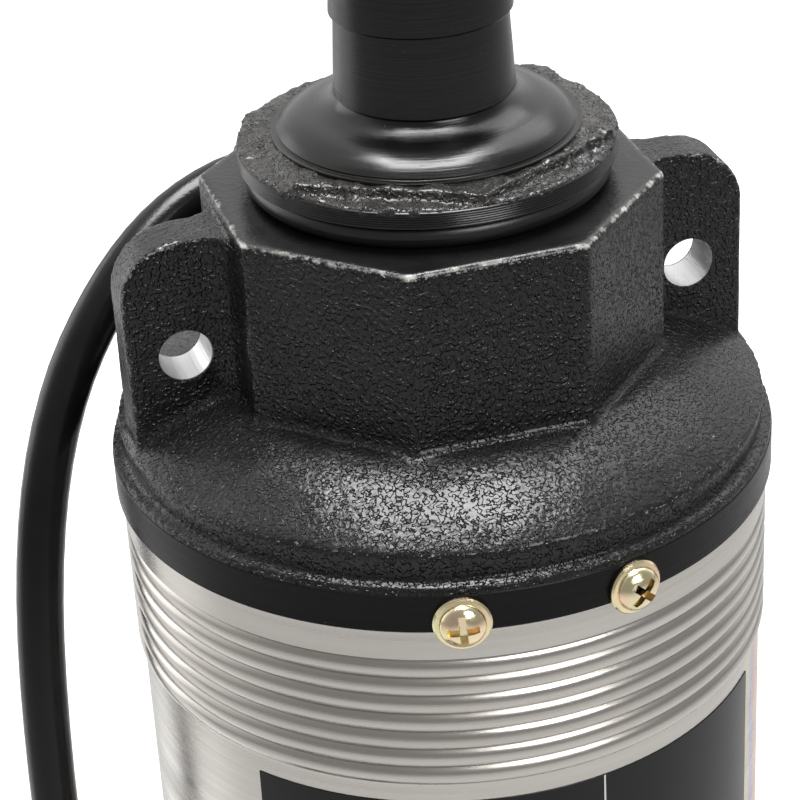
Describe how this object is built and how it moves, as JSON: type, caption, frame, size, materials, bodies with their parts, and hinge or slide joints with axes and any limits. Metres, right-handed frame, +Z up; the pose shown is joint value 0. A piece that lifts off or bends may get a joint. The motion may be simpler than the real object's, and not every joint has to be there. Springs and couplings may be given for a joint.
{
  "type": "submersible water pump",
  "caption": "Upright stainless submersible well pump: black cast head with lifting ears and barbed hose tail, ribbed shell, slotted strainer foot, power cable with coil and plug.",
  "frame": {"origin": "on the floor under the pump's axis, at the middle of the foot", "axes": "+Z up along the shaft to the hose tail, +X towards the right lifting ear, -Y towards the front with the label area"},
  "size_m": [0.2815, 0.1598, 0.5245],
  "materials": {
    "painted_cast_iron": "black paint over rough cast iron",
    "stainless": "brushed stainless steel",
    "stainless_inner": "satin stainless steel",
    "zinc_screw": "yellow zinc plate",
    "seal_rubber": "smooth black rubber",
    "gland_plastic": "black nylon",
    "stage_plastic": "glass-filled black plastic",
    "impeller_plastic": "glass-filled natural plastic",
    "foot_plastic": "black plastic",
    "bronze": "bare bronze",
    "ground_steel": "ground steel",
    "ceramic": "white ceramic",
    "carbon": "lapped carbon",
    "lamination": "varnished steel laminations",
    "copper": "varnished copper wire",
    "capacitor_can": "drawn aluminium",
    "cable_rubber": "matt black cable rubber",
    "tie_plastic": "black nylon",
    "plug_rubber": "moulded black rubber",
    "pin_metal": "nickel-plated brass"
  },
  "bodies": {
    "root": {"foot": "foot_plastic", "strainer": "stainless_inner", "strainer_screws": "zinc_screw", "inlet_body": "painted_cast_iron", "inlet_seal_ring": "seal_rubber", "guide_bush": "bronze", "seal_bracket": "painted_cast_iron", "seal_seat": "ceramic", "lower_bearing_outer_ring": "ground_steel", "upper_bearing_outer_ring": "ground_steel", "lower_bearing_bracket": "painted_cast_iron", "upper_bearing_bracket": "painted_cast_iron", "stator_core": "lamination", "stator_winding": "copper", "capacitor": "capacitor_can", "motor_can": "stainless_inner", "motor_lid": "painted_cast_iron", "motor_lid_ring": "seal_rubber", "outer_shell": "stainless", "shell_screws": "zinc_screw", "head_casting": "painted_cast_iron", "head_seal_ring": "seal_rubber", "gland_nut": "gland_plastic", "gland_bush": "seal_rubber", "outlet_seal_ring": "seal_rubber", "hose_tail": "painted_cast_iron", "cable_boot": "cable_rubber", "cable_drop": "cable_rubber", "cable_coil": "cable_rubber", "cable_tail": "cable_rubber", "coil_ties": "tie_plastic", "plug_body": "plug_rubber", "plug_pins": "pin_metal", "stage_bowl_1": "stage_plastic", "stage_diffuser_1": "stage_plastic", "stage_bowl_2": "stage_plastic", "stage_diffuser_2": "stage_plastic", "stage_bowl_3": "stage_plastic", "stage_diffuser_3": "stage_plastic", "stage_bowl_4": "stage_plastic", "stage_diffuser_4": "stage_plastic", "stage_bowl_5": "stage_plastic", "stage_diffuser_5": "stage_plastic", "stage_bowl_6": "stage_plastic", "stage_diffuser_6": "stage_plastic"},
    "rotor": {"shaft": "ground_steel", "rotor_core": "lamination", "lower_bearing_inner_ring": "ground_steel", "upper_bearing_inner_ring": "ground_steel", "seal_head": "carbon", "seal_spring": "ground_steel", "impeller_nut": "ground_steel", "impeller_1": "impeller_plastic", "impeller_2": "impeller_plastic", "impeller_3": "impeller_plastic", "impeller_4": "impeller_plastic", "impeller_5": "impeller_plastic", "impeller_6": "impeller_plastic"},
    "lower_bearing_cage": {"lower_bearing_balls": "ground_steel"},
    "upper_bearing_cage": {"upper_bearing_balls": "ground_steel"}
  },
  "joints": [
    {"name": "rotor_spin", "type": "hinge", "parent": "root", "child": "rotor", "pos_m": [0, 0, 0.26], "axis": [0, 0, 1], "continuous": true},
    {"name": "lower_cage_spin", "type": "hinge", "parent": "root", "child": "lower_bearing_cage", "pos_m": [0, 0, 0.26], "axis": [0, 0, 1], "continuous": true},
    {"name": "upper_cage_spin", "type": "hinge", "parent": "root", "child": "upper_bearing_cage", "pos_m": [0, 0, 0.3575], "axis": [0, 0, 1], "continuous": true}
  ],
  "couplings": [
    {"joint": "lower_cage_spin", "follows": "rotor_spin", "ratio": 0.3807},
    {"joint": "upper_cage_spin", "follows": "rotor_spin", "ratio": 0.38}
  ]
}
